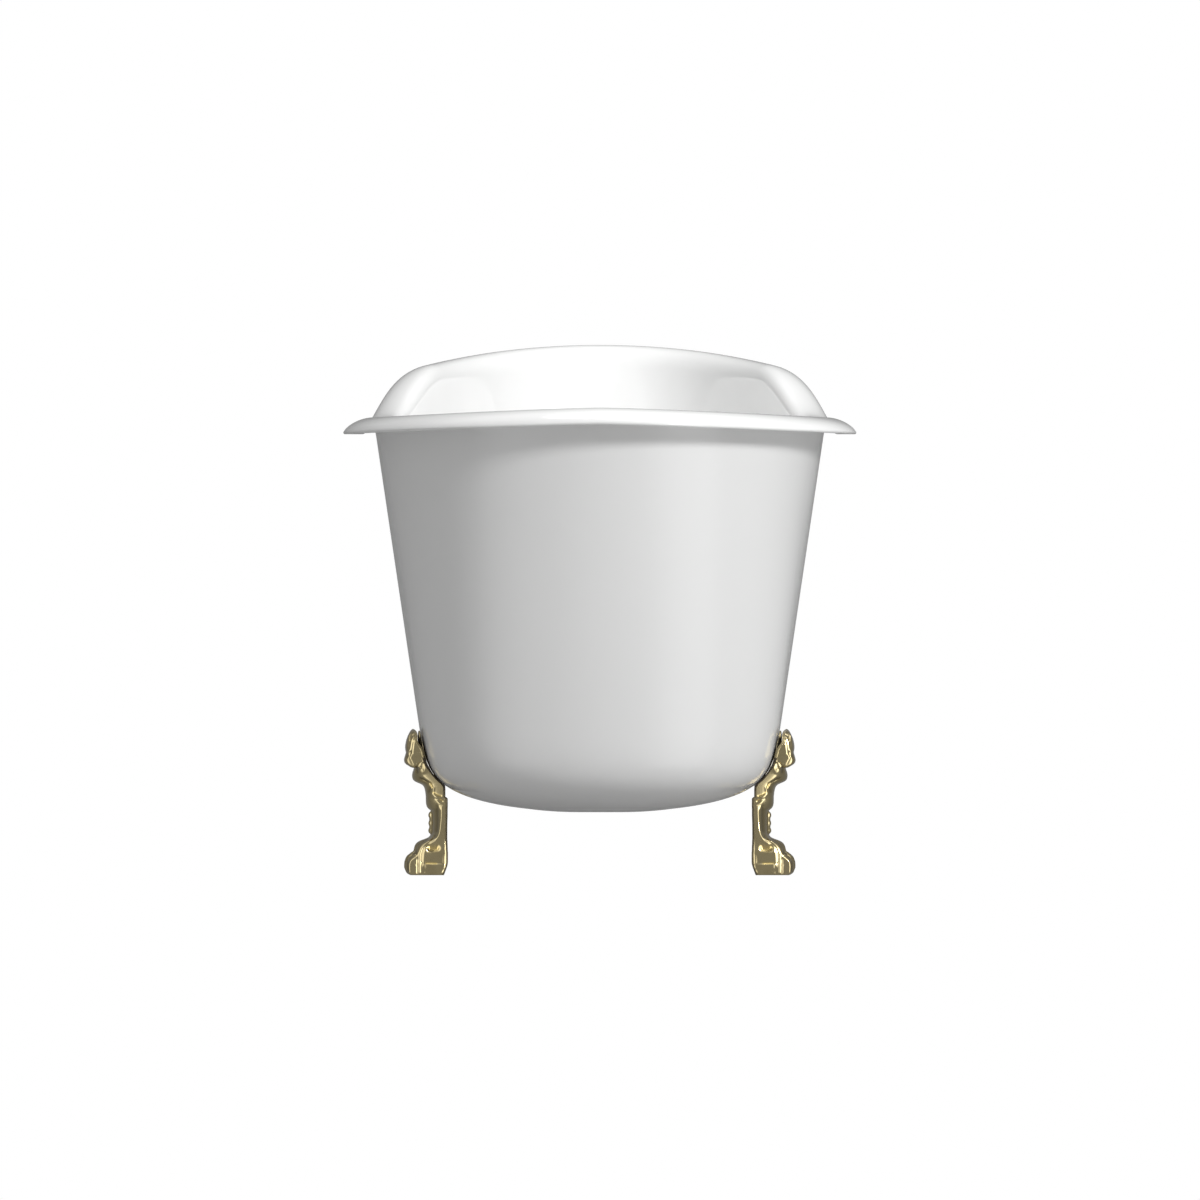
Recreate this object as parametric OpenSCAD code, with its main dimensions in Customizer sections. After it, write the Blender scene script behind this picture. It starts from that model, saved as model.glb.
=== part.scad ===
// Cast iron slipper bathtub on four lion paw feet.
// The tub is one enamelled casting with a rolled rim that rises to a backrest at one end.
// Each brass foot is a hollow casting, open at its back, held by a stud, a washer and a nut.
// Origin on the floor below the middle of the overall length, +Z up, raised end at +Y.

/* [Rim] */
// Overall length over the rolled rim
tub_length = 1549; // [1300:1:1900]
// Overall width over the rolled rim
rim_width = 762; // [650:1:850]
// Height of the rim crest along the low sides
rim_low = 680; // [560:0.5:760]
// Height that the crest gains at the raised end
head_rise = 107.5; // [0:0.5:220]
// Height that the crest gains at the middle of the foot end
foot_lift = 14.5; // [0:0.5:40]
// How far the roll hangs out beyond its crest
roll_overhang = 42.8; // [25:0.1:60]
// Height of the roll from its crest to the bottom of its lip
roll_drop = 25; // [18:0.5:40]
// Thickness of the roll at its lip
lip_thickness = 5; // [3:0.5:8]
// Widest section, measured towards the foot end from the middle of the length
widest_offset = 100; // [0:1:250]
// Start of the rise, measured towards the raised end from the middle of the length
rise_start = 212; // [0:1:400]
// End of the quick part of the rise, measured in the same way
swing_end = 463; // [200:1:700]
// Share of its width that the rim loses in its taper to the raised end
taper = 0.173; // [0:0.001:0.4]

/* [Body] */
// Wall thickness of the iron casting with its enamel
wall = 7; // [5:0.5:12]
// Width of the body where its walls would meet the bottom
base_width = 499; // [400:1:650]
// Length of the base from the widest section to the foot end
base_foot_length = 550; // [400:1:620]
// Length of the base from the widest section to the raised end
base_head_length = 545; // [400:1:700]
// Height of the underside above the floor at its lowest point
bottom_height = 93.6; // [60:0.1:160]
// Height over which the bottom turns up into the walls
corner_rise = 166.7; // [80:0.1:240]
// Distance from the crest inwards to the outside of the body along the low sides
crest_inset = 1.8; // [0:0.1:10]
// How much further inwards the body lies at the raised end
back_inset = 16; // [0:0.5:30]
// Distance from the crest down to where the body leaves the underside of the roll
neck_drop = 30; // [25:0.5:60]

/* [Waste] */
// Diameter of the waste hole
waste_hole = 52; // [38:0.5:70]
// Diameter of the recessed seat around the waste hole
waste_seat = 78; // [60:0.5:100]
// Depth of the recessed seat
waste_seat_depth = 2.5; // [1:0.1:4]
// Distance of the waste from the middle of the length, towards the foot end
waste_offset = 480; // [300:1:600]

/* [Feet] */
// Distance of the front pair of feet from the middle of the length
foot_front = 430; // [300:1:500]
// Distance of the rear pair of feet from the middle of the length
foot_rear = 250; // [100:1:350]
// Skin thickness of a hollow foot
foot_skin = 4.5; // [3:0.1:8]
// Depth of the grooves between the toes
toe_groove = 6; // [0:0.5:10]
// Underside of the lug inside a foot, above the floor
lug_bottom = 108; // [95:0.5:112]
// Thickness of the lug inside a foot
lug_thickness = 8; // [5:0.5:12]

/* [Fixings] */
// Distance of a stud inwards from the edge of the base
stud_inset = 11.5; // [9.5:0.5:13.5]
// Diameter of a stud
stud_diameter = 8; // [6:0.5:10]
// Height of the lower end of a stud above the floor
stud_end = 95; // [88:0.5:98]
// Depth of a stud in its boss
stud_depth = 17; // [10:0.5:18]
// Diameter of a boss below the tub
boss_diameter = 17; // [14:0.5:22]
// Width of a nut across its flats
nut_width = 13; // [11:0.5:15]
// Height of a nut
nut_height = 6.5; // [4:0.5:8]
// Outer diameter of a washer
washer_diameter = 16; // [14:0.5:19]
// Thickness of a washer
washer_thickness = 1.6; // [1:0.1:3]
// Clearance around a stud in its boss and nut, on the radius
thread_clearance = 0.1; // [0.05:0.05:0.3]
// Clearance around a stud in a washer or lug, on the radius
hole_clearance = 0.5; // [0.2:0.1:1.5]

/* [Hidden] */
// Crest outline, measured from the widest section
widest_y = -widest_offset;
crest_half = rim_width / 2 - roll_overhang;
crest_foot = tub_length / 2 - widest_offset - roll_overhang;
crest_head = tub_length / 2 + widest_offset - roll_overhang;
crest_straight = 230;
crest_foot_power = 2.3;
crest_head_power = 3.3;
// Base outline, with straight sides between the feet
base_half = base_width / 2;
base_straight = 330;
base_power = 2.5;
// Curve of the bottom, from a shallow arc into a round corner
corner_square = 5.83;
corner_round = 2.146;
step_power = 2.2;
// Rise of the crest: a quick swing upwards and a long slope
slope_share = 0.406;
slope_power = 1.5;
lift_power = 1.3;
// Lean of the walls, and how late the backrest flares away from it
lean = (crest_half - crest_inset - base_half) / (rim_low - bottom_height);
flare_power = 1.6;
// Small angle to either side for a direction along an outline, and rise for the slope of a wall
nudge = 0.05;
slope_rise = 1;
// Counts of sections around the tub and of steps along each part of a section
around = 80;
floor_steps = 7;
wall_steps = 3;
round_steps = 3;
roll_steps = 6;
// Roll: part of a quarter of a superellipse, which ends in a round lip that leans outwards
roll_power = 2 / 1.7;
roll_turn = 74;
lip_lean = 28;
lip_radius = lip_thickness / 2;
end_out = roll_overhang - lip_radius * (1 - cos(lip_lean));
end_down = roll_drop - lip_radius * (1 + sin(lip_lean));
roll_out = end_out / pow(sin(roll_turn), roll_power);
roll_down = end_down / (1 - pow(cos(roll_turn), roll_power));
lip_out = end_out - lip_radius * cos(lip_lean);
lip_down = end_down + lip_radius * sin(lip_lean);
// Underside of the roll, and how far down the inside of the wall starts to round over
hollow_top = 7;
hollow_out = 3;
round_share = 1.4;
// Feet, drawn for walls with a certain lean: with another lean they move and bend along the walls
drawn_lean = 0.1482;
lean_change = lean - drawn_lean;
lug_top = lug_bottom + lug_thickness;
stud_offset = base_half + lean_change * (lug_top - bottom_height) - stud_inset;
lug_section = [lug_top, 19, 31, -10.5];
boss_reach = 70;
stud_chamfer = 1;
// How far a cut reaches past the face that it opens, and past the sloping floor
cut_past = 1;
floor_past = 5;
waste_facets = 64;
// Angle between two sections of the tub
turn = 360 / around;
toe_top = 50;
toe_fade_height = 14;
toe_half = 0.85;
toe_waves = 450;
// Squareness of a foot's sections: its paw and shin are squarer than its knee and leaf
shin_power = 0.36;
knee_power = 0.5;
shin_top = 80;
knee_bottom = 120;
// Points across the inside of a foot's section, with two outer points to each
inner_points = 10;
outer_points = 2 * inner_points - 1;
iron_white = [0.93, 0.93, 0.92];
brass = [0.78, 0.68, 0.42];
steel = [0.62, 0.63, 0.65];

// Sections of a foot from its sole to the tip of its leaf: height, front of the section,
// half of its width, back of the section. Front and back are measured out from the stud.
foot_sections = [
    [0, 43, 46, -6.5],
    [6.8, 51, 50, -9],
    [16, 53, 52, -12],
    [28.5, 49, 52, -12.5],
    [33, 43.8, 51, -12.5],
    [36.5, 39.2, 50, -12],
    [47.4, 35.6, 46, -11.8],
    [53.6, 23, 39, -11.5],
    [59, 14.1, 34, -11.5],
    [62.7, 12.6, 31.5, -11.5],
    [65, 15.4, 30.5, -11.5],
    [78, 15.2, 29, -11.5],
    [90.6, 15.9, 29, -12],
    [96, 14, 29.5, -12],
    [104.3, 19, 31, -12],
    [113, 19.4, 33, -12],
    [124, 20.6, 37, -9.2],
    [132.8, 25.2, 41, -6.5],
    [139.2, 35.9, 45, 1],
    [149.4, 40.5, 47, 9.8],
    [157, 38.9, 44, 14.6],
    [161, 40.5, 43, 16.8],
    [168.4, 51.1, 51, 20],
    [177.5, 50.6, 56, 22.6],
    [184.5, 49.6, 56, 25],
    [192.7, 50.6, 52, 30],
    [203.2, 48.1, 41, 33.5],
    [212.4, 43.5, 21, 34],
    [216.9, 39.3, 5, 34.2]
];

// Sections of the tongue behind a leaf, from its tip down into the leg: height, its face towards
// the tub, its other face, half of its width. The faces are measured out from the stud.
tongue_sections = [
    [214.5, 29.6, 31.8, 5],
    [210, 29, 34.5, 12],
    [203.2, 27.9, 36.5, 19],
    [192.7, 26.1, 33, 20],
    [184.5, 24.4, 28.5, 20],
    [178, 22.7, 26.5, 22],
    [172, 20.9, 25, 30],
    [165, 18.7, 24, 40],
    [158, 17.5, 22.5, 41.5],
    [148, 13.5, 19, 44]
];

function mix(a, b, t) = a + (b - a) * t;

// Smooth step from 0 to 1 as v goes from a to b
function swing(a, b, v) =
    let (t = min(1, max(0, (v - a) / (b - a))))
    t * t * (3 - 2 * t);

// Half outline of an end: straight at first, then round, t from 0 to 1
function end_width(t, power) = sqrt(max(0, 1 - pow(max(0, t), power)));

// Outline of the crest at angle u, 0 at the right side and 90 at the raised end
function crest_outline(u) =
    let (foot = sin(u) < 0)
    let (y = sin(u) * (foot ? crest_foot : crest_head))
    let (t = foot ? (-y - crest_straight) / (crest_foot - crest_straight) : y / crest_head)
    let (width = end_width(t, foot ? crest_foot_power : crest_head_power))
    [sign(cos(u)) * crest_half * width * (1 - taper * swing(0, crest_head, y)), y + widest_y];

// Outline of the base at angle u, inset by the distance d
function base_outline(u, d) =
    let (reach = (sin(u) < 0 ? base_foot_length : base_head_length) - d)
    let (y = sin(u) * reach)
    let (t = (abs(y) - base_straight) / (reach - base_straight))
    [sign(cos(u)) * (base_half - d) * end_width(t, base_power), y + widest_y];

// Direction to the right of the way from point a to point b
function right_of(a, b) = [b[1] - a[1], a[0] - b[0]] / norm(b - a);

// Outward directions of the two outlines at angle u
function crest_outward(u) = right_of(crest_outline(u - nudge), crest_outline(u + nudge));
function base_outward(u) = right_of(base_outline(u - nudge, 0), base_outline(u + nudge, 0));

// Height of the crest above a point of its outline
function crest_height(p) =
    let (end_y = crest_head + widest_y)
    let (t = min(1, max(0, (p[1] - rise_start) / (end_y - rise_start))))
    let (side = min(1, abs(p[0]) / crest_half))
    rim_low + head_rise * mix(swing(rise_start, swing_end, p[1]), pow(t, slope_power), slope_share)
    + (p[1] < widest_y ? foot_lift * (1 - pow(side, lift_power)) : 0);

// Point of the rim at angle u, out from the crest and down from it
function rim_point(u, out, down) =
    let (p = crest_outline(u))
    let (q = p + crest_outward(u) * out)
    [q[0], q[1], crest_height(p) - down];

// Distance at angle u from the crest inwards to the outside of the body
function body_inset(u) =
    crest_inset + back_inset * swing(0, crest_head, crest_outline(u)[1] - widest_y);

// Point of the wall at angle u and height z, with its surface set in by the distance d
function wall_point(u, z, d) =
    let (top = rim_point(u, -body_inset(u) - d, 0))
    let (low = base_outline(u, d))
    let (side = base_outward(u) * lean)
    let (plain = low + side * (z - bottom_height))
    let (flare = [top[0], top[1]] - low - side * (top[2] - bottom_height))
    let (p = plain + flare * pow((z - bottom_height) / (top[2] - bottom_height), flare_power))
    [p[0], p[1], z];

// Point of the bottom at angle u, from the waste at s = 0 to the wall at s = 1
function floor_point(u, s, d) =
    let (h = pow(s, step_power))
    let (r = pow(1 - pow(1 - h, corner_square), 1 / corner_round))
    let (w = wall_point(u, bottom_height + corner_rise * h, d))
    let (centre = mix(-waste_offset, widest_y, r))
    [w[0] * r, centre + (w[1] - widest_y) * r, w[2] + d * (1 - h)];

// Distance below the crest at which the wall's surface starts to round over
function round_drop(u, d) = d > 0 ? round_share * (body_inset(u) + d) : neck_drop;

// Point of the upright wall at angle u, from the bottom at t = 0 to the rounding at t = 1
function upright_point(u, t, d) =
    let (z = mix(bottom_height + corner_rise, rim_point(u, 0, round_drop(u, d))[2], t))
    wall_point(u, z, d);

// Parabola from the wall, which it leaves along the wall's slope, to a level end in the roll
function round_point(u, t, d, out, down) =
    let (drop = round_drop(u, d))
    let (z = rim_point(u, 0, drop)[2])
    let (start = wall_point(u, z, d))
    let (slope = (wall_point(u, z + slope_rise, d) - start) / slope_rise)
    let (corner = start + slope * (drop - down))
    start * pow(1 - t, 2) + corner * 2 * t * (1 - t) + rim_point(u, out, down) * pow(t, 2);

// Point of the roll's upper side, by the share t of its turn
function roll_point(u, t) =
    let (a = roll_turn * t)
    rim_point(u, roll_out * pow(sin(a), roll_power), roll_down * (1 - pow(cos(a), roll_power)));

// Point of the lip, from the roll's end at t = 0 round to its underside at t = 1
function lip_point(u, t) =
    let (a = lip_lean - 180 * t)
    rim_point(u, lip_out + lip_radius * cos(a), lip_down - lip_radius * sin(a));

// Point of the roll's underside, by the share t of its turn
function under_point(u, t) =
    let (a = roll_turn * t)
    let (far = roll_out * pow(sin(a), roll_power) / end_out)
    let (low = roll_down * (1 - pow(cos(a), roll_power)) / end_down)
    rim_point(u, mix(hollow_out, 2 * lip_out - end_out, far), mix(hollow_top, 2 * lip_down - end_down, low));

// Section of the shell at angle u, from the inside of the floor over the rim to the underside
function section(u) = concat(
    [for (i = [1:floor_steps]) floor_point(u, i / floor_steps, wall)],
    [for (i = [1:wall_steps]) upright_point(u, i / wall_steps, wall)],
    [for (i = [1:round_steps]) round_point(u, i / round_steps, wall, 0, 0)],
    [for (i = [1:roll_steps]) roll_point(u, i / roll_steps)],
    [for (i = [1:round_steps]) lip_point(u, i / round_steps)],
    [for (i = [round_steps - 1:-1:0]) under_point(u, i / round_steps)],
    [for (i = [round_steps - 1:-1:1]) round_point(u, i / round_steps, 0, hollow_out, hollow_top)],
    [for (i = [wall_steps:-1:1]) upright_point(u, i / wall_steps, 0)],
    [for (i = [floor_steps:-1:1]) floor_point(u, i / floor_steps, 0)]
);

// A foot's section or its tongue's, with its front and back moved out by the change of the walls' lean
function leaned(s, front, back) =
    let (out = lean_change * max(0, s[0] - lug_top))
    [for (i = [0:len(s) - 1]) i == front || i == back ? s[i] + out : s[i]];

// Closed solid from rings of equal length between two poles
module ringed_solid(rings, first, last) {
    n = len(rings[0]);
    m = len(rings);
    polyhedron(
        points = concat([first], [for (ring = rings) each ring], [last]),
        faces = concat(
            [for (i = [0:n - 1]) [0, 1 + (i + 1) % n, 1 + i]],
            [for (k = [0:m - 2], i = [0:n - 1], half = [0, 1])
                let (a = 1 + k * n + i)
                let (b = 1 + k * n + (i + 1) % n)
                half == 0 ? [a, b, a + n] : [b, b + n, a + n]],
            [for (i = [0:n - 1]) [1 + (m - 1) * n + i, 1 + (m - 1) * n + (i + 1) % n, 1 + m * n]]
        )
    );
}

// Point of the floor above the waste, set in by the distance d
function waste_point(d) = [0, -waste_offset, bottom_height + d];

// Solid that fills the tub's hollow and the inner half of its wall, up to the uprights
module core() {
    rings = [for (k = [floor_steps:-1:1])
        [for (i = [0:around - 1]) floor_point(i * turn, k / floor_steps, wall / 2)]];
    ringed_solid(rings, [0, widest_y, bottom_height + corner_rise], waste_point(wall / 2));
}

// Places its children at the four studs
module at_studs() {
    for (y = [-foot_front, foot_rear])
        for (side = [-1, 1])
            translate([side * stud_offset, y, 0])
                children();
}

// Bosses that the studs are screwed into, shaped to the outside of the wall
module bosses() {
    difference() {
        at_studs()
            translate([0, 0, lug_top])
                cylinder(h = boss_reach, d = boss_diameter);
        core();
    }
}

module tub_shell() {
    sections = [for (i = [0:around - 1]) section(i * turn)];
    rings = [for (k = [0:len(sections[0]) - 1]) [for (s = sections) s[k]]];
    color(iron_white)
        difference() {
            union() {
                ringed_solid(rings, waste_point(wall), waste_point(0));
                bosses();
            }
            translate([0, -waste_offset, bottom_height - cut_past])
                cylinder(h = wall + floor_past, d = waste_hole, $fn = waste_facets);
            translate([0, -waste_offset, bottom_height + wall - waste_seat_depth])
                cylinder(h = waste_seat_depth + floor_past, d = waste_seat, $fn = waste_facets);
            at_studs()
                translate([0, 0, lug_top - cut_past])
                    cylinder(h = stud_depth + cut_past, r = stud_diameter / 2 + thread_clearance);
        }
}

// How much of the toe grooves is left at height z
function toe_fade(z) = min(1, max(0, (toe_top - z) / toe_fade_height));

// One edge of a foot's section, from one side over the front to the other
function foot_edge(s, count, inset, grooved) =
    [for (j = [0:count - 1])
        let (a = -90 + 180 * j / (count - 1))
        let (across = sin(a))
        let (ripple = abs(across) < toe_half ? 1 - abs(sin(toe_waves * across)) : 0)
        let (groove = toe_groove * toe_fade(s[0]) * (grooved ? ripple : 1))
        let (depth = s[1] - s[3] - inset - (grooved ? 0 : groove))
        let (power = mix(shin_power, knee_power, swing(shin_top, knee_bottom, s[0])))
        [s[3] + depth * pow(cos(a), power) - (grooved ? groove : 0), (s[2] - inset) * across, s[0]]];

// Upright tongue behind a leaf, which lies close along the tub and ends in the sides of the leg
module tongue() {
    n = len(tongue_sections) - 1;
    rings = [for (s = [for (q = tongue_sections) leaned(q, 1, 2)])
        [[s[1], -s[3], s[0]], [s[2], -s[3], s[0]], [s[2], s[3], s[0]], [s[1], s[3], s[0]]]];
    tip = (rings[0][0] + rings[0][2]) / 2;
    root = (rings[n][0] + rings[n][2]) / 2;
    ringed_solid(rings, tip, root);
}

// Hollow casting, open at its back, with a lug for its stud and a tongue behind its leaf
module foot() {
    n = outer_points + inner_points;
    m = len(foot_sections);
    o = outer_points;
    p = inner_points;
    difference() {
        union() {
            polyhedron(
                points = [for (s = [for (q = foot_sections) leaned(q, 1, 3)])
                    each concat(foot_edge(s, o, 0, true), foot_edge(s, p, foot_skin, false))],
                faces = concat(
                    [for (k = [0:m - 2], j = [0:o - 2], half = [0, 1])
                        let (a = k * n + j)
                        half == 0 ? [a, a + n, a + n + 1] : [a, a + n + 1, a + 1]],
                    [for (k = [0:m - 2], j = [0:p - 2], half = [0, 1])
                        let (a = k * n + o + j)
                        half == 0 ? [a, a + n + 1, a + n] : [a, a + 1, a + n + 1]],
                    [for (k = [0:m - 2], half = [0, 1])
                        let (a = k * n)
                        half == 0 ? [a + o, a + o + n, a + n] : [a + o, a + n, a]],
                    [for (k = [0:m - 2], half = [0, 1])
                        let (a = k * n + o - 1)
                        let (b = k * n + n - 1)
                        half == 0 ? [a, a + n, b + n] : [a, b + n, b]],
                    [for (i = [0:p - 2], part = [0:2])
                        let (a = o + i)
                        part == 2 ? [a, 2 * i + 2, a + 1] : [a, 2 * i + part, 2 * i + part + 1]],
                    [for (i = [0:p - 2], part = [0:2])
                        let (t = (m - 1) * n)
                        let (a = t + o + i)
                        let (b = t + 2 * i)
                        part == 2 ? [a, a + 1, b + 2] : [a, b + part + 1, b + part]]
                )
            );
            translate([0, 0, lug_bottom])
                linear_extrude(height = lug_thickness)
                    polygon([for (q = foot_edge(lug_section, o, foot_skin / 2, false)) [q[0], q[1]]]);
            tongue();
        }
        translate([0, 0, lug_bottom - cut_past])
            cylinder(h = lug_thickness + 2 * cut_past, r = stud_diameter / 2 + hole_clearance);
    }
}

module foot_front_right() {
    color(brass)
        translate([stud_offset, -foot_front, 0])
            foot();
}

module foot_front_left() {
    color(brass)
        translate([-stud_offset, -foot_front, 0])
            rotate([0, 0, 180])
                foot();
}

module foot_rear_right() {
    color(brass)
        translate([stud_offset, foot_rear, 0])
            foot();
}

module foot_rear_left() {
    color(brass)
        translate([-stud_offset, foot_rear, 0])
            rotate([0, 0, 180])
                foot();
}

module foot_studs() {
    color(steel)
        at_studs()
            translate([0, 0, stud_end]) {
                cylinder(h = stud_chamfer, d1 = stud_diameter - 2 * stud_chamfer, d2 = stud_diameter);
                translate([0, 0, stud_chamfer])
                    cylinder(h = lug_top + stud_depth - stud_end - stud_chamfer, d = stud_diameter);
            }
}

module foot_washers() {
    color(steel)
        at_studs()
            translate([0, 0, lug_bottom - washer_thickness])
                difference() {
                    cylinder(h = washer_thickness, d = washer_diameter);
                    translate([0, 0, -cut_past])
                        cylinder(h = washer_thickness + 2 * cut_past,
                            r = stud_diameter / 2 + hole_clearance);
                }
}

module foot_nuts() {
    color(steel)
        at_studs()
            translate([0, 0, lug_bottom - washer_thickness - nut_height])
                difference() {
                    rotate([0, 0, 30])
                        cylinder(h = nut_height, d = nut_width / cos(30), $fn = 6);
                    translate([0, 0, -cut_past])
                        cylinder(h = nut_height + 2 * cut_past,
                            r = stud_diameter / 2 + thread_clearance);
                }
}

tub_shell();
foot_front_right();
foot_front_left();
foot_rear_right();
foot_rear_left();
foot_studs();
foot_washers();
foot_nuts();
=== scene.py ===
import bpy
import numpy as np
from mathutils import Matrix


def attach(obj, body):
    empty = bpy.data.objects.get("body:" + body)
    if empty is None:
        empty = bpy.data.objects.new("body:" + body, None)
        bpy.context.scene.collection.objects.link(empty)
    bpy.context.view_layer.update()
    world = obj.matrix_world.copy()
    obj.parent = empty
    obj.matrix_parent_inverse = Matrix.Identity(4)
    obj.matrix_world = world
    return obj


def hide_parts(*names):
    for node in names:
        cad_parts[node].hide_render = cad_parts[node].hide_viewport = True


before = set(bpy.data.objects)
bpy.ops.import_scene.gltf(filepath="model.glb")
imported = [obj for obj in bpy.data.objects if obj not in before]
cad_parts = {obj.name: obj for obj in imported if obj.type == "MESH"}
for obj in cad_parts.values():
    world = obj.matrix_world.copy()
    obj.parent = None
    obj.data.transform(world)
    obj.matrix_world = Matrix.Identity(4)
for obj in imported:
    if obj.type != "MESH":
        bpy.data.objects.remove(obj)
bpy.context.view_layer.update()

MM = 0.001

# Sizes of the tub in millimetres, as in the part's source
TUB_LENGTH = 1549.0
RIM_WIDTH = 762.0
RIM_LOW = 680.0
HEAD_RISE = 107.5
FOOT_LIFT = 14.5
ROLL_OVERHANG = 42.8
ROLL_DROP = 25.0
LIP_THICKNESS = 5.0
WIDEST_Y = -100.0
RISE_START = 212.0
SWING_END = 463.0
TAPER = 0.173
WALL = 7.0
BASE_HALF = 249.5
BASE_FOOT_LENGTH = 550.0
BASE_HEAD_LENGTH = 545.0
BOTTOM_HEIGHT = 93.6
CORNER_RISE = 166.7
CREST_INSET = 1.8
BACK_INSET = 16.0
NECK_DROP = 30.0
WASTE_Y = -480.0
WASTE_HOLE = 52.0
WASTE_SEAT = 78.0
WASTE_SEAT_DEPTH = 2.5
FOOT_YS = (-430.0, 250.0)
STUD_X = 238.0
LUG_BOTTOM = 108.0
LUG_TOP = 116.0
BOSS_DIAMETER = 17.0
BOSS_CHAMFER = 1.0
# Height up to which a boss is drawn straight, and how far its top lies inside the wall
BOSS_STRAIGHT = 124.0
BOSS_SINK = 3.0
BORE_RADIUS = 4.1
BORE_END = 133.2

CREST_HALF = RIM_WIDTH / 2 - ROLL_OVERHANG
CREST_FOOT = TUB_LENGTH / 2 + WIDEST_Y - ROLL_OVERHANG
CREST_HEAD = TUB_LENGTH / 2 - WIDEST_Y - ROLL_OVERHANG
CREST_STRAIGHT = 230.0
CREST_FOOT_POWER = 2.3
CREST_HEAD_POWER = 3.3
BASE_STRAIGHT = 330.0
BASE_POWER = 2.5
CORNER_SQUARE = 5.83
CORNER_ROUND = 2.146
STEP_POWER = 2.2
SLOPE_SHARE = 0.406
SLOPE_POWER = 1.5
LIFT_POWER = 1.3
FLARE_POWER = 1.6
LEAN = (CREST_HALF - CREST_INSET - BASE_HALF) / (RIM_LOW - BOTTOM_HEIGHT)
ROLL_POWER = 2 / 1.7
ROLL_TURN = np.radians(74)
LIP_LEAN = np.radians(28)
LIP_RADIUS = LIP_THICKNESS / 2
ROLL_OUT = (ROLL_OVERHANG - LIP_RADIUS * (1 - np.cos(LIP_LEAN))) / np.sin(ROLL_TURN) ** ROLL_POWER
ROLL_DOWN = (ROLL_DROP - LIP_RADIUS * (1 + np.sin(LIP_LEAN))) / (1 - np.cos(ROLL_TURN) ** ROLL_POWER)
ROUND_SHARE = 1.4
HOLLOW_OUT = 3.0
HOLLOW_TOP = 7.0


def mix(a, b, t):
    """Value on the way from a to b, at the share t of the way."""
    return a + (b - a) * t


def smooth(a, b, v):
    """Smooth step from 0 to 1 as v goes from a to b: 3t squared less 2t cubed."""
    t = np.clip((v - a) / (b - a), 0, 1)
    return t * t * (3 - 2 * t)


def end_width(t, power):
    """Half width of a rounded end, as a share: the square root of 1 less t to a power."""
    return np.sqrt(np.maximum(0, 1 - np.maximum(0, t) ** power))


def crest_outline(u):
    """Crest of the rim seen from above: y goes with the sine of the angle, and x is the half width times a
    rounded end, narrowed by the taper towards the raised end."""
    foot = np.sin(u) < 0
    y = np.sin(u) * np.where(foot, CREST_FOOT, CREST_HEAD)
    t = np.where(foot, (-y - CREST_STRAIGHT) / (CREST_FOOT - CREST_STRAIGHT), y / CREST_HEAD)
    width = np.where(foot, end_width(t, CREST_FOOT_POWER), end_width(t, CREST_HEAD_POWER))
    x = np.sign(np.cos(u)) * CREST_HALF * width * (1 - TAPER * smooth(0, CREST_HEAD, y))
    return np.stack([x, y + WIDEST_Y], -1)


def base_outline(u, inset):
    """Outline in which the walls meet the bottom: straight sides and a rounded end at each end."""
    reach = np.where(np.sin(u) < 0, BASE_FOOT_LENGTH, BASE_HEAD_LENGTH) - inset
    y = np.sin(u) * reach
    t = (np.abs(y) - BASE_STRAIGHT) / (reach - BASE_STRAIGHT)
    x = np.sign(np.cos(u)) * (BASE_HALF - inset) * end_width(t, BASE_POWER)
    return np.stack([x, y + WIDEST_Y], -1)


def outward(outline, u):
    """Unit vector square to an outline, from the difference of two near points."""
    step = outline(u + 1e-3) - outline(u - 1e-3)
    side = np.stack([step[..., 1], -step[..., 0]], -1)
    return side / np.linalg.norm(side, axis=-1, keepdims=True)


def crest_height(p):
    """Height of the crest: level sides, a lift at the foot end, and a quick and a long slope to the raised
    end, each with its share of the rise."""
    end_y = CREST_HEAD + WIDEST_Y
    t = np.clip((p[..., 1] - RISE_START) / (end_y - RISE_START), 0, 1)
    rise = mix(smooth(RISE_START, SWING_END, p[..., 1]), t ** SLOPE_POWER, SLOPE_SHARE)
    side = np.clip(np.abs(p[..., 0]) / CREST_HALF, 0, 1)
    lift = np.where(p[..., 1] < WIDEST_Y, FOOT_LIFT * (1 - side ** LIFT_POWER), 0)
    return RIM_LOW + HEAD_RISE * rise + lift


def rim_point(u, out, down):
    """Point beside the crest: out along the outline's outward direction and down from the crest's height."""
    p = crest_outline(u)
    q = p + outward(crest_outline, u) * out
    return np.concatenate([q, (crest_height(p) - down)[..., None]], -1)


def roll_place(turn):
    """Place on the roll's superellipse, out and down from the crest: powers of a sine and a cosine."""
    return ROLL_OUT * np.sin(turn) ** ROLL_POWER, ROLL_DOWN * (1 - np.cos(turn) ** ROLL_POWER)


def body_inset(u):
    """Distance from the crest inwards to the body's outside: it grows smoothly towards the raised end."""
    return CREST_INSET + BACK_INSET * smooth(0, CREST_HEAD, crest_outline(u)[..., 1] - WIDEST_Y)


def wall_point(u, z, inset):
    """Point of the wall: a plain lean outwards from the base, plus a flare that grows with a power of the
    height until the wall would meet the height of the crest."""
    top = rim_point(u, -(body_inset(u) + inset)[..., None], 0.0)
    low = base_outline(u, inset)
    side = outward(lambda v: base_outline(v, 0), u) * LEAN
    plain = low + side * (z - BOTTOM_HEIGHT)[..., None]
    flare = top[..., :2] - low - side * (top[..., 2] - BOTTOM_HEIGHT)[..., None]
    t = ((z - BOTTOM_HEIGHT) / (top[..., 2] - BOTTOM_HEIGHT))[..., None]
    return np.concatenate([plain + flare * t ** FLARE_POWER, z[..., None]], -1)


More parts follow.
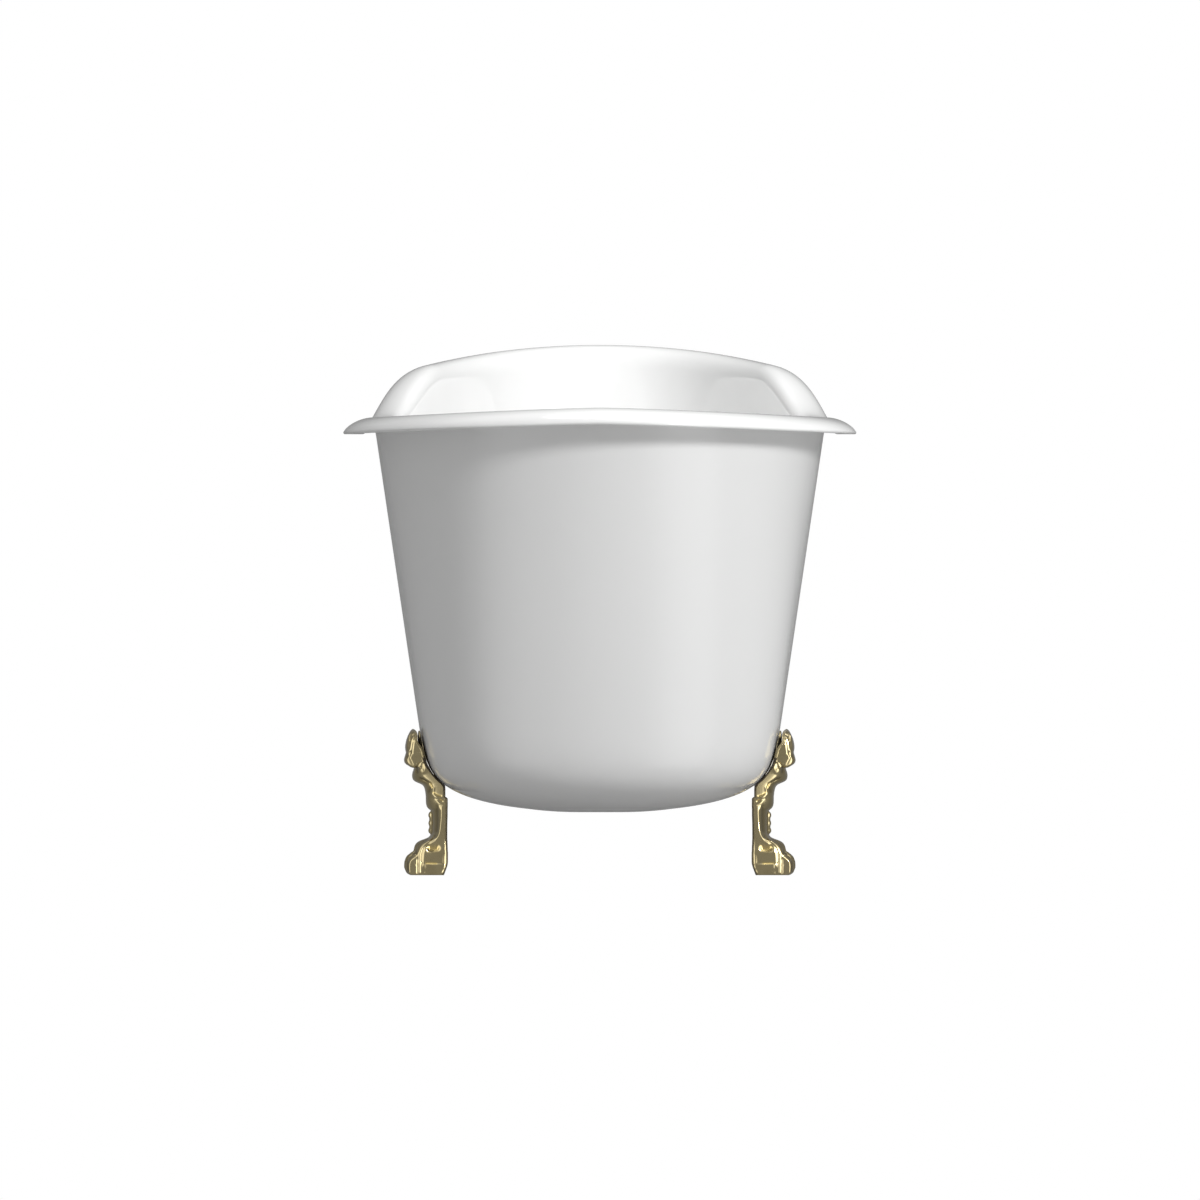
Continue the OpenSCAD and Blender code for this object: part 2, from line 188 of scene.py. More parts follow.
def rounded(u, inset, drop, out, down, t):
    """Rounding between the wall and the roll: a parabola from the wall, at the drop below the crest, that
    leaves it along its own slope and ends level at a place out from the crest and down from it."""
    crest = rim_point(u, 0.0, 0.0)[..., 2]
    start = wall_point(u, crest - drop, inset)
    slope = wall_point(u, crest - drop + 1.0, inset) - start
    corner = start + slope * (drop - down)[..., None]
    end = rim_point(u, out, down)
    return start * (1 - t) ** 2 + corner * 2 * t * (1 - t) + end * t ** 2


def floor_point(u, s, inset):
    """Point of the bottom, from the waste at s = 0 to the wall at s = 1: the height is a power of s, and the
    share of the wall's outline that it reaches is a squarish curve of the height, centred on the waste at
    first."""
    h = s ** STEP_POWER
    r = (1 - (1 - h) ** CORNER_SQUARE) ** (1 / CORNER_ROUND)
    w = wall_point(u, BOTTOM_HEIGHT + CORNER_RISE * h, inset)
    centre = mix(WASTE_Y, WIDEST_Y, r)
    z = w[..., 2] + inset * (1 - h)
    return np.stack([w[..., 0] * r, centre + (w[..., 1] - WIDEST_Y) * r, z], -1)


def grid_faces(rows, columns, wrap):
    """Four-cornered faces of a grid of points numbered row by row. Rows close on themselves if wrapped."""
    last = columns if wrap else columns - 1
    k, i = np.meshgrid(np.arange(rows - 1), np.arange(last), indexing="ij")
    a = k * columns + i
    b = k * columns + (i + 1) % columns
    return np.stack([a, a + columns, b + columns, b], -1).reshape(-1, 4)


def capped(rings):
    """Points and faces of a closed stack of rings, whose first and last ring are closed by fans round their
    middles."""
    count = rings.shape[1]
    points = np.concatenate([rings.reshape(-1, 3), rings[0].mean(0)[None], rings[-1].mean(0)[None]])
    k = np.arange(count)
    follow = (k + 1) % count
    first = np.full(count, len(points) - 2)
    last = first + 1
    top = (len(rings) - 1) * count
    return points, np.concatenate([
        grid_faces(len(rings), count, True),
        np.stack([first, first, k, follow], -1),
        np.stack([last, last, top + follow, top + k], -1)])


def facing_out(p, faces):
    """Faces of a closed part, turned round if they face inwards: the volume that they enclose, a sixth of the
    sum of their triangles' triple products, is negative then."""
    a, b, c, d = (p[faces[:, k]] for k in range(4))
    volume = (a * (np.cross(b, c) + np.cross(c, d))).sum() / 6
    return faces if volume > 0 else faces[:, ::-1]


def placed(name, data):
    """New object of the scene, with its data."""
    made = bpy.data.objects.new(name, data)
    bpy.context.scene.collection.objects.link(made)
    return made


def make_piece(name, parts, material, stands_for, attributes=None):
    """One object from closed parts, each with its points in millimetres and its faces, in the tub's own
    frame. A face of four corners that names one corner twice in a row becomes a triangle."""
    points, faces, start = [], [], 0
    for p, f in parts:
        p = p.reshape(-1, 3)
        points.append(p)
        faces.append(facing_out(p, f) + start)
        start += len(p)
    points = np.concatenate(points) * MM
    faces = np.concatenate(faces)
    mesh = bpy.data.meshes.new(name)
    mesh.vertices.add(len(points))
    mesh.vertices.foreach_set("co", points.astype(np.float32).ravel())
    kept = faces != np.roll(faces, 1, axis=1)
    sizes = kept.sum(1)
    mesh.loops.add(int(sizes.sum()))
    mesh.loops.foreach_set("vertex_index", faces[kept].astype(np.int32))
    mesh.polygons.add(len(faces))
    mesh.polygons.foreach_set("loop_start", (np.cumsum(sizes) - sizes).astype(np.int32))
    mesh.polygons.foreach_set("use_smooth", np.ones(len(faces), bool))
    mesh.update(calc_edges=True)
    for key, values in (attributes or {}).items():
        data = mesh.attributes.new(key, "FLOAT", "POINT").data
        data.foreach_set("value", values.astype(np.float32).ravel())
    mesh.materials.append(material)
    piece = placed(name, mesh)
    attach(piece, "root")
    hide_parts(stands_for)


class Maths:
    """A socket of a node tree, on which Python's operators add Math nodes."""

    def __init__(self, maker, socket):
        self.maker = maker
        self.socket = socket

    def __add__(self, other):
        return self.maker.maths("ADD", self, other)

    __radd__ = __add__

    def __sub__(self, other):
        return self.maker.maths("SUBTRACT", self, other)

    def __rsub__(self, other):
        return self.maker.maths("SUBTRACT", other, self)

    def __mul__(self, other):
        return self.maker.maths("MULTIPLY", self, other)

    __rmul__ = __mul__

    def __truediv__(self, other):
        return self.maker.maths("DIVIDE", self, other)

    def __rtruediv__(self, other):
        return self.maker.maths("DIVIDE", other, self)


class Nodes:
    """The nodes of one tree, and the ways in which they are added."""

    def __init__(self, tree):
        self.tree = tree

    def node(self, kind, settings=None, inputs=None):
        """A node of a kind: its settings come first, then the values or sockets that feed its inputs."""
        made = self.tree.nodes.new(kind)
        for key, value in (settings or {}).items():
            setattr(made, key, value)
        for key, value in (inputs or {}).items():
            self.feed(made.inputs[key], value)
        return made

    def feed(self, socket, value):
        if isinstance(value, Maths):
            value = value.socket
        if isinstance(value, bpy.types.NodeSocket):
            self.tree.links.new(value, socket)
        else:
            socket.default_value = value

    def maths(self, operation, *values):
        made = self.node("ShaderNodeMath", {"operation": operation}, dict(enumerate(values)))
        return Maths(self, made.outputs[0])

    def band(self, value, low, high):
        """0 below the low value, 1 above the high one, smooth between them."""
        made = self.node("ShaderNodeMapRange", {"interpolation_type": "SMOOTHSTEP", "clamp": True},
                         {"Value": value, "From Min": low, "From Max": high, "To Min": 0.0, "To Max": 1.0})
        return Maths(self, made.outputs["Result"])

    def colours(self, share, first, second):
        """Colour on the way from the first to the second, each of them a socket or three numbers."""
        made = self.node("ShaderNodeMix", {"data_type": "RGBA"}, {"Factor": share})
        for key, value in ((6, first), (7, second)):
            self.feed(made.inputs[key], value if isinstance(value, bpy.types.NodeSocket) else (*value, 1))
        return made.outputs[2]

    def seen(self):
        """1 for what the camera sees, also in reflections and through glass, and 0 for light on its way."""
        path = self.node("ShaderNodeLightPath").outputs
        camera, glossy, through = (
            Maths(self, path[kind]) for kind in ("Is Camera Ray", "Is Glossy Ray", "Is Transmission Ray"))
        return self.maths("MINIMUM", camera + glossy + through, 1.0)


class Finish(Nodes):
    """A material with one shader, whose patterns lie in the object's own coordinates."""

    def __init__(self, name, colour, roughness, metallic=0.0):
        self.material = bpy.data.materials.new(name)
        self.material.use_nodes = True
        self.material.diffuse_color = (*colour, 1)
        super().__init__(self.material.node_tree)
        self.shader = self.tree.nodes["Principled BSDF"]
        self.shader.inputs["Base Color"].default_value = (*colour, 1)
        self.shader.inputs["Roughness"].default_value = roughness
        self.shader.inputs["Metallic"].default_value = metallic
        self.place = self.node("ShaderNodeTexCoord").outputs["Object"]

    def noise(self, scale, detail=3.0, rough=0.5):
        made = self.node("ShaderNodeTexNoise", {"noise_dimensions": "3D"},
                         {"Vector": self.place, "Scale": scale, "Detail": detail, "Roughness": rough})
        return Maths(self, made.outputs["Fac"])

    def attribute(self, name):
        made = self.node("ShaderNodeAttribute", {"attribute_name": name, "attribute_type": "GEOMETRY"})
        return Maths(self, made.outputs["Fac"])

    def bump(self, height, strength, distance):
        made = self.node("ShaderNodeBump", {}, {"Height": height, "Strength": strength, "Distance": distance})
        self.set("Normal", made.outputs["Normal"])

    def set(self, name, value):
        self.feed(self.shader.inputs[name], value)


# Weight of the enamel's clear coat on the walls, what the rim has more, and the heights in metres between
# which the one passes into the other
WALL_COAT = 0.12
RIM_COAT = 0.6
RIM_BAND = (0.655, 0.68)

BRASS_CLEAN = (0.57, 0.48, 0.275)
BRASS_TARNISHED = (0.44, 0.36, 0.19)
# Warmer, brighter brass painted in some recesses as a glow of bounced light
BRASS_BOUNCE_GLOW = (0.86, 0.66, 0.26)
# Brown painted shade for the grooves and the gaps between the toes of the feet
BRASS_CREASE_SHADE = (0.17, 0.13, 0.06)
# Near-black brass: partly raw, unpolished casting, partly painted shade in the gaps and inside the foot
BRASS_RAW_AND_SHADE = (0.055, 0.04, 0.02)


def enamel_finish():
    """White gloss enamel: nearly even, with a faint waviness from the firing, and glossier on the rim."""
    f = Finish("white_enamel", (0.86, 0.862, 0.858), 0.07)
    f.shader.inputs["Coat Roughness"].default_value = 0.03
    f.shader.inputs["Specular IOR Level"].default_value = 0.12
    height = f.node("ShaderNodeSeparateXYZ", {}, {"Vector": f.place}).outputs["Z"]
    f.set("Coat Weight", WALL_COAT + f.band(height, *RIM_BAND) * RIM_COAT)
    cloud = f.noise(3.0, 2.0)
    f.set("Base Color", f.colours(cloud, (0.85, 0.852, 0.848), (0.87, 0.872, 0.868)))
    f.set("Roughness", 0.05 + f.noise(60.0, 2.0) * 0.05)
    f.bump(f.noise(14.0, 1.0), 0.035, 0.004)
    return f.material


def brass_finish():
    """Polished cast brass: pale gold on the high places, with painted shade, brown, in the grooves and
    between the toes, a painted warm glow of bounced light in some recesses, and near black inside the foot,
    on the lug, on the tongue and along the back edge, partly as raw casting and partly as painted shade.
    """
    f = Finish("polished_brass", (0.52, 0.43, 0.24), 0.16, metallic=1.0)
    # Mask of painted shade, brown, in the grooves and between the toes
    hollow = f.attribute("hollow")
    # Mask of near-black brass: raw casting and painted shade inside the foot and on the lug, painted shade on
    # the tongue and along the back edge
    inside = f.attribute("inside")
    tarnish = f.band(f.noise(55.0, 4.0, 0.6), 0.38, 0.75)
    clean = f.colours(tarnish * 0.5, BRASS_CLEAN, BRASS_TARNISHED)
    # Painted warm glow of bounced light in some recesses and grooves
    clean = f.colours(f.attribute("bounce_glow"), clean, BRASS_BOUNCE_GLOW)
    crease_shaded = f.colours(hollow, clean, BRASS_CREASE_SHADE)
    f.set("Base Color", f.colours(inside, crease_shaded, BRASS_RAW_AND_SHADE))
    f.set("Metallic", 1 - inside * 0.8)
    f.set("Roughness", 0.13 + tarnish * 0.08 + hollow * 0.2 + inside * 0.45)
    f.bump(f.noise(160.0, 2.0), 0.05, 0.0006)
    return f.material


def zinc_finish():
    """Bright zinc plating on the fixings, with a fine spangle."""
    f = Finish("zinc_plate", (0.55, 0.56, 0.58), 0.3, metallic=1.0)
    spangle = f.noise(700.0, 2.0)
    f.set("Base Color", f.colours(spangle, (0.50, 0.51, 0.53), (0.62, 0.63, 0.64)))
    f.set("Roughness", 0.25 + spangle * 0.15)
    return f.material


ENAMEL = enamel_finish()
BRASS = brass_finish()
ZINC = zinc_finish()

AROUND = 480
BOSS_AROUND = 40
# Rings along the shell's profile: up the wall, over the rounding and the roll, round its lip, back below it
# and down the neck
WALL_STEPS = 24
ROUND_STEPS = 13
ROLL_STEPS = 21
LIP_STEPS = 11
UNDER_STEPS = 13
NECK_STEPS = 11
# Rings of the bottom between the waste and the blend's end, and from there to the wall
BLEND_STEPS = 8
BOTTOM_STEPS = 34
# Share of the way from the waste to the wall on which the bottom's outline blends out of a circle
WASTE_BLEND = 0.2


def outer_wall_x(foot_y, z):
    """Half width of the outside of the tub beside a foot, at the heights z: the bottom's and the wall's
    curves are read where they pass the foot's place along the tub."""
    u = np.linspace(-np.pi / 2, np.pi / 2, 721)
    s = np.linspace(0.3, 1.0, 160)[:, None]
    p = floor_point(u[None, :] + 0 * s, s + 0 * u[None, :], 0.0)
    x = np.array([np.interp(foot_y, row[:, 1], row[:, 0]) for row in p])
    h = np.array([np.interp(foot_y, row[:, 1], row[:, 2]) for row in p])
    return np.interp(z, h, x)


def shell_rings():
    """Rings of points round the tub, row by row: from the edge of the waste hole over the seat and the floor,
    up the inside, over the roll and its lip, back below it and down the outside to the hole."""
    u = np.linspace(0, 2 * np.pi, AROUND, endpoint=False)
    one = np.ones_like(u)

    def circle(radius, z):
        return np.stack([radius * np.cos(u), WASTE_Y + radius * np.sin(u), z * one], -1)

    def floor(s, inset, radius, z):
        """Ring of the bottom, which near the waste blends out of a circle."""
        if s >= WASTE_BLEND:
            return floor_point(u, s * one, inset)
        t = s / WASTE_BLEND
        ring = circle(radius, z)
        return ring + (floor_point(u, WASTE_BLEND * one, inset) - ring) * np.array([t, t, t ** STEP_POWER])

    top = BOTTOM_HEIGHT + WALL
    seat = top - WASTE_SEAT_DEPTH
    hole = WASTE_HOLE / 2
    rim = WASTE_SEAT / 2
    # the hole and the seat, with rounded edges: radius and height
    rings = [circle(radius, z) for radius, z in (
        (hole, BOTTOM_HEIGHT + 0.6), (hole, seat - 0.8), (hole + 0.3, seat - 0.2), (hole + 1.0, seat),
        (rim - 1.5, seat), (rim - 0.5, seat + 0.3), (rim + 0.2, top - 0.9), (rim + 1.0, top - 0.3))]
    floor_steps = np.concatenate([
        np.linspace(0.01, 0.19, BLEND_STEPS), np.linspace(WASTE_BLEND, 1.0, BOTTOM_STEPS)])
    rings += [floor(s, WALL, rim + 2.0, top) for s in floor_steps]
    crest_z = rim_point(u, 0.0, 0.0)[:, 2]
    low_z = BOTTOM_HEIGHT + CORNER_RISE
    drop = ROUND_SHARE * (body_inset(u) + WALL)
    rings += [wall_point(u, mix(low_z, crest_z - drop, t), WALL) for t in np.linspace(0, 1, WALL_STEPS)[1:]]
    rings += [rounded(u, WALL, drop, 0.0, 0.0, t) for t in np.linspace(0, 1, ROUND_STEPS)[1:]]
    rings += [rim_point(u, *roll_place(turn)) for turn in ROLL_TURN * np.linspace(0, 1, ROLL_STEPS)[1:]]
    end_out, end_down = roll_place(ROLL_TURN)
    lip_out = end_out - LIP_RADIUS * np.cos(LIP_LEAN)
    lip_down = end_down + LIP_RADIUS * np.sin(LIP_LEAN)
    for turn in LIP_LEAN - np.pi * np.linspace(0, 1, LIP_STEPS)[1:]:
        rings.append(rim_point(u, lip_out + LIP_RADIUS * np.cos(turn), lip_down - LIP_RADIUS * np.sin(turn)))
    under_out = lip_out - LIP_RADIUS * np.cos(LIP_LEAN)
    under_down = lip_down + LIP_RADIUS * np.sin(LIP_LEAN)
    for turn in ROLL_TURN * np.linspace(1, 0, UNDER_STEPS)[1:]:
        out, down = roll_place(turn)
        rings.append(rim_point(
            u, mix(HOLLOW_OUT, under_out, out / end_out), mix(HOLLOW_TOP, under_down, down / end_down)))
    for t in np.linspace(1, 0, NECK_STEPS)[1:]:
        rings.append(rounded(u, 0.0, NECK_DROP * one, HOLLOW_OUT, HOLLOW_TOP, t))
    for t in np.linspace(1, 0, WALL_STEPS)[1:]:
        rings.append(wall_point(u, mix(low_z, crest_z - NECK_DROP, t), 0.0))
    rings += [floor(s, 0.0, hole + 1.0, BOTTOM_HEIGHT) for s in floor_steps[::-1][1:]]
    return np.array(rings + [circle(hole + 0.6, BOTTOM_HEIGHT)])


def boss_parts():
    """Four short posts below the corners of the tub, each with a blind bore for its stud: a profile carried
    round an upright axis, whose top ring follows the middle of the wall."""
    a = np.linspace(0, 2 * np.pi, BOSS_AROUND, endpoint=False)
    radius = BOSS_DIAMETER / 2
    heights = np.linspace(100.0, 240.0, 200)
    parts = []
    for y in FOOT_YS:
        top = np.interp(STUD_X + radius * np.cos(a), outer_wall_x(y, heights), heights) + BOSS_SINK
        for side in (-1, 1):
            parts.append(capped(np.array([
                np.stack([side * (STUD_X + r * np.cos(a)), y + r * np.sin(a), z + 0 * a], -1) for r, z in (
                    (BORE_RADIUS, BORE_END), (BORE_RADIUS, LUG_TOP), (radius - BOSS_CHAMFER, LUG_TOP),
                    (radius, LUG_TOP + BOSS_CHAMFER), (radius, BOSS_STRAIGHT), (radius, top))])))
    return parts


def tub_shell():
    """The enamelled shell, whose last ring joins its first, and its bosses."""
    rings = shell_rings()
    first = np.arange(AROUND)
    follow = (first + 1) % AROUND
    last = (len(rings) - 1) * AROUND
    faces = np.concatenate([
        grid_faces(len(rings), AROUND, True), np.stack([last + first, first, follow, last + follow], -1)])
    make_piece("tub_shell_enamel", [(rings, faces)] + boss_parts(), ENAMEL, "tub_shell")


tub_shell()

# Outline of a foot from the side: height, front, back, in millimetres from the tub's middle
FOOT_OUTLINE = np.array([
    (0, 281, 231.6), (2, 285.5, 230.8), (6.8, 289, 229), (13, 291, 226.8), (18.6, 290.7, 225.6),
    (23.9, 289.4, 225.5), (28.5, 287, 225.5), (33, 281.8, 225.5), (36.5, 277.2, 225.8),
    (42.9, 275.5, 226), (47.4, 273, 226.2), (50.9, 268.3, 226.3), (53.6, 261, 226.5), (57, 254, 226.5),
    (62.7, 250.2, 226.5), (67, 249.8, 226.5), (80, 249.6, 226.3), (90, 249.8, 226), (95.5, 250.8, 226),
    (98.3, 254, 226), (100.5, 256, 225.9), (103.5, 257.5, 225.8), (108, 258.3, 225.8),
    (114.5, 258.5, 226), (116, 258.5, 229.3), (120.6, 258.9, 229.3), (127.4, 260, 229.3),
    (130.5, 261, 229.6), (133.5, 263, 231.6), (136, 267, 233), (137.8, 271.5, 235), (140, 275.5, 238),
    (143, 278, 241), (148, 278.9, 245), (153, 278.2, 249), (157, 276.8, 251), (160, 276.2, 253),
    (160.8, 277.5, 253.5), (161.5, 281.5, 254), (163, 285, 255), (165.5, 288.5, 256), (168, 290.3, 257),
    (171, 290.9, 258), (175, 290.2, 259), (179, 289, 260), (182.5, 288.2, 261), (186, 288.8, 262.2),
    (190, 289.2, 264.3), (193.5, 289, 267), (196, 288.6, 269.2), (199, 288, 270.4), (202, 287.2, 270.8),
    (207, 285.3, 270.5), (211, 283.4, 271.2), (213.6, 282, 272.3), (215.6, 280.4, 273.9),
    (216.7, 279.3, 275.6), (217.2, 278.2, 277),
])
# Height and half of the width
FOOT_WIDTHS = np.array([
    (0, 48), (3, 50), (8, 51.2), (16, 51.6), (30, 51.4), (40, 49.6), (50, 46.8), (60, 43.6), (70, 40.6),
    (80, 38.2), (90, 36.8), (98, 36.4), (106, 37.4), (115, 39), (125, 41), (132, 42.2), (140, 42.8),
    (150, 43.8), (155, 44.8), (161, 46.2), (168, 48.4), (176, 51), (184, 52.8), (192, 53.4), (198, 52),
    (204, 48), (209, 40.5), (213, 30), (215.5, 18), (217.2, 5),
], float)
# Where a foot's flat side bends over to its front: height, place of the bend, its softness, squareness beyond
# it, how much the side leans in for each millimetre to the front, and the share of the width that is lost
# evenly beyond the bend
FOOT_BENDS = np.array([
    (0, 283, 1, 2.6, 0, 0.12), (15, 283, 1, 2.6, 0, 0.12), (20.5, 281, 1.2, 2.5, 0, 0.14),
    (24.5, 275.5, 1.5, 2.5, 0, 0.18), (28, 271.5, 1.5, 2.5, 0, 0.22), (33, 269.6, 1.5, 2.5, 0, 0.2),
    (38, 267.8, 1.5, 2.5, 0, 0.16), (42, 265.4, 1.5, 2.5, 0, 0.16), (46, 261, 1.5, 2.5, 0, 0.2),
    (50, 254, 1.5, 2.5, 0, 0.26), (53, 246, 1.2, 2.5, 0, 0.3), (56, 241, 1, 2.5, 0, 0.32),
    (59, 240, 1, 2.5, 0, 0.32), (63, 239, 1, 2.5, 0, 0.34), (70, 237.8, 1, 2.5, 0, 0.36),
    (78, 236.9, 1, 2.5, 0, 0.38), (85, 236.3, 1, 2.5, 0, 0.38), (95, 235.9, 1, 2.5, 0, 0.38),
    (99, 236.6, 1.4, 2.5, 0.08, 0.3), (104, 240, 2, 2.6, 0.16, 0.2), (112, 244, 4, 3, 0.15, 0.1),
    (120, 246, 6, 3, 0.145, 0.1), (128, 248, 7, 3, 0.145, 0.1), (136, 252, 7, 2.6, 0.15, 0.1),
    (142, 257, 5, 2.2, 0.16, 0.1), (148, 262, 4, 2, 0.16, 0.1), (154, 266, 4, 1.9, 0.1, 0.1),
    (159, 268, 3, 1.8, 0.08, 0.1), (162.5, 280, 1, 5, 0.07, 0.12), (166, 285, 0.6, 8, 0.06, 0.16),
    (171, 286, 0.6, 8, 0.06, 0.16), (175, 284, 0.6, 8, 0.05, 0.16), (178.5, 280, 0.6, 8, 0.02, 0.16),
    (182, 278.6, 0.8, 8, 0, 0.16), (190, 278, 0.8, 8, 0, 0.17), (196, 277.2, 0.8, 8, 0, 0.17),
    (203, 276.8, 0.9, 7, 0, 0.17), (209, 277, 1, 5, 0, 0.15), (213, 277.6, 1.2, 3, 0, 0.1),
    (217.2, 277.6, 1.4, 2, 0, 0),
])
# Gap beside the tub's wall, and the height from which a foot's back follows the wall
WALL_GAP = 0.35
WALL_FROM = 132
FOOT_SKIN = 4.5
FOOT_LEVELS = 310
# Points across the outer skin, of which the inner one has every fourth
FOOT_ACROSS = 241
INNER_SHARE = 4
# Least depth and half width of a section
LEAST_DEPTH = 0.5
LEAST_HALF = 0.4
# Widths of the bells that soften the tables' curves: outline, widths, bends
OUTLINE_BLUR = 0.4
WIDTH_BLUR = 2.0
BEND_BLUR = 1.2


def eased(x, xs, ys):
    """Smooth curve through points, without overshoot: cubic between them, with slopes that are the harmonic
    mean of the two neighbours' and 0 at a peak."""
    step = np.diff(xs)
    rise = np.diff(ys) / step
    both = rise[:-1] * rise[1:]
    slope = np.zeros_like(ys)
    slope[1:-1] = np.where(both > 0, 2 * both / np.where(both > 0, rise[:-1] + rise[1:], 1), 0)
    slope[0], slope[-1] = rise[0], rise[-1]
    i = np.clip(np.searchsorted(xs, x) - 1, 0, len(step) - 1)
    t = (x - xs[i]) / step[i]
    h = step[i]
    return (ys[i] * (2 * t ** 3 - 3 * t ** 2 + 1) + ys[i + 1] * (3 * t ** 2 - 2 * t ** 3)
            + h * slope[i] * (t ** 3 - 2 * t ** 2 + t) + h * slope[i + 1] * (t ** 3 - t ** 2))


def profiles(z, table, blur):
    """Eased curves through a table's columns against its first one, the heights, each blurred along the
    height by a bell of the given width, and read at the heights z."""
    heights = table[:, 0]
    step = 0.25
    fine = np.arange(heights[0] - 4 * blur, heights[-1] + 4 * blur, step)
    bell = np.exp(-0.5 * (np.arange(-3 * blur, 3 * blur + step / 2, step) / blur) ** 2)
    curves = []
    for values in table.T[1:]:
        curve = np.pad(eased(np.clip(fine, *heights[[0, -1]]), heights, values), len(bell) // 2, "edge")
        blurred = np.convolve(curve, bell / bell.sum(), "valid")[:len(fine)]
        curves.append(np.interp(z, fine, blurred)[:, None])
    return curves


# Ribs on the side of a foot: how fast they fall to the right and to the left of the way along them, their
# roundness, then places as out, up and height of the rib
FOOT_RIBS = [
    # leaf
    (0.90, 0.38, 0.2, [(274.4, 200, 0.8), (271.6, 195.2, 1.2), (267.4, 189.6, 1.2), (263.8, 184, 1.2),
        (261.4, 178.6, 1.2), (261.2, 173.5, 0.8)]),
    (0.07, 0.40, 0.3, [(274.8, 198, 0.8), (275.1, 194, 1.2), (275.7, 189, 1.3), (276.5, 184.5, 1.3),
        (276.6, 180.6, 1.2), (275, 177.6, 0.9)]),
    (0.50, 0.42, 0.2, [(273.6, 206.8, 0.9), (276, 204.2, 1.4), (278.4, 201.4, 1.3), (279.6, 197.5, 0.8),
        (280.2, 193, 0.8), (281, 188.6, 0.9), (282.8, 184.6, 1.1), (284.6, 181.4, 0.5)]),
    (0.50, 0.50, 0.2, [(278.2, 213.5, 0.8), (280.8, 209.2, 1.3), (283.2, 204.8, 1.3), (284.8, 199, 0.8),
        (285.6, 192, 0.6)]),
    (0.45, 0.45, 0.4, [(276.2, 212.8, 0.9), (275.8, 210, 1.1)]),
    (0.80, 0.36, 0.3, [(273, 212, 0.6), (272.2, 206.5, 0.6), (273, 201, 0.5)]),
    (1.10, 0.10, 0.4, [(264.5, 171.8, 0.9), (267.8, 169, 1.6), (271, 165.6, 2), (274.6, 162, 2),
        (279, 160.9, 1.6)]),
    # folds under the leaf, and the knee
    (0.55, 0.42, 0.4, [(261.8, 171.4, 0.9), (261.4, 168.6, 1.2)]),
    (0.50, 0.42, 0.3, [(264.2, 167.4, 0.9), (265.4, 163.8, 1.1), (266.4, 160.5, 0.9), (267, 157, 0.4)]),
    (0.50, 0.38, 0.4, [(258.2, 165.4, 1.2), (258.4, 161.5, 1.8), (259.4, 157, 1.5), (261.4, 152.6, 0.5)]),
    (0.45, 0.45, 0.4, [(274.4, 155, 0.7), (274.6, 151.5, 0.8)]),
    # cuff
    (0.25, 0.62, 0.3, [(232.6, 113.6, 1.2), (238, 114.8, 1.5), (243, 117, 1.5), (248.4, 120.8, 0.9)]),
    (0.30, 0.60, 0.3, [(232.5, 105.2, 1), (237.5, 107, 1.2), (241, 110, 1), (244.5, 112.4, 0.5)]),
    (0.35, 0.40, 0.5, [(247, 129, 0.6), (247.2, 123, 0.7), (244.4, 119.5, 0.5)]),
    # shin, and on over the heel's recess to the side of the toes
    (0.04, 0.38, 0.2, [(234.8, 102, 0.3), (234.8, 92, 0.5), (235.2, 83, 0.6), (236, 74, 0.8), (237, 66, 1),
        (238.4, 60, 1.2), (240.6, 55.6, 1.4), (243.4, 52, 1)]),
    (0.15, 0.40, 0.4, [(240.2, 55.4, 0.4), (242.4, 51.6, 1.0), (246, 48.6, 1.5), (250.6, 46, 1.5),
        (254.6, 42.6, 1.5), (257.8, 38.2, 1.5), (259.8, 33.5, 1.6), (260.6, 28, 1.6),
        (261, 20.5, 1.3), (261.2, 17, 0.6)]),
    # tendons
    (0.70, 0.42, 0.3, [(247.6, 56, 0.8), (251.6, 51.2, 1), (256, 47, 1), (260.2, 43.4, 1), (263.6, 39, 1),
        (266, 33, 1), (266.6, 26, 1.2), (267, 17, 1.5), (267.2, 10, 1.5), (267.3, 3, 1.2)]),
    (0.40, 0.60, 0.4, [(258, 54.2, 0.8), (264, 51.6, 1), (269.3, 47, 1.2), (272.3, 42.6, 1.2),
        (274.2, 38, 1)]),
    # toes
    (0.60, 0.60, 0.4, [(273.5, 30, 0.9), (277.5, 28.8, 1.2), (281, 26.4, 1.2), (283.8, 22.6, 0.9)]),
    (0.60, 0.60, 0.4, [(278.5, 35, 1), (283, 31.3, 1.2), (287, 28, 1.2), (289, 25, 0.9)]),
    (0.08, 0.42, 0.3, [(271.8, 23.4, 0.9), (275, 25, 1.1), (278.6, 23.4, 1.2), (280.8, 19.8, 1.2),
        (281.6, 15, 1.2), (281.8, 10, 1.2), (281.4, 4, 1)]),
    # ledge of the sole, and the edge of the heel
    (0.10, 0.62, 0.3, [(230.6, 15, 1.4), (245, 14.6, 2.6), (256, 15.2, 2.6), (260.4, 15.6, 1.8)]),
    (0.30, 0.40, 0.4, [(231.8, 30, 0.4), (231.8, 14, 0.8)]),
]
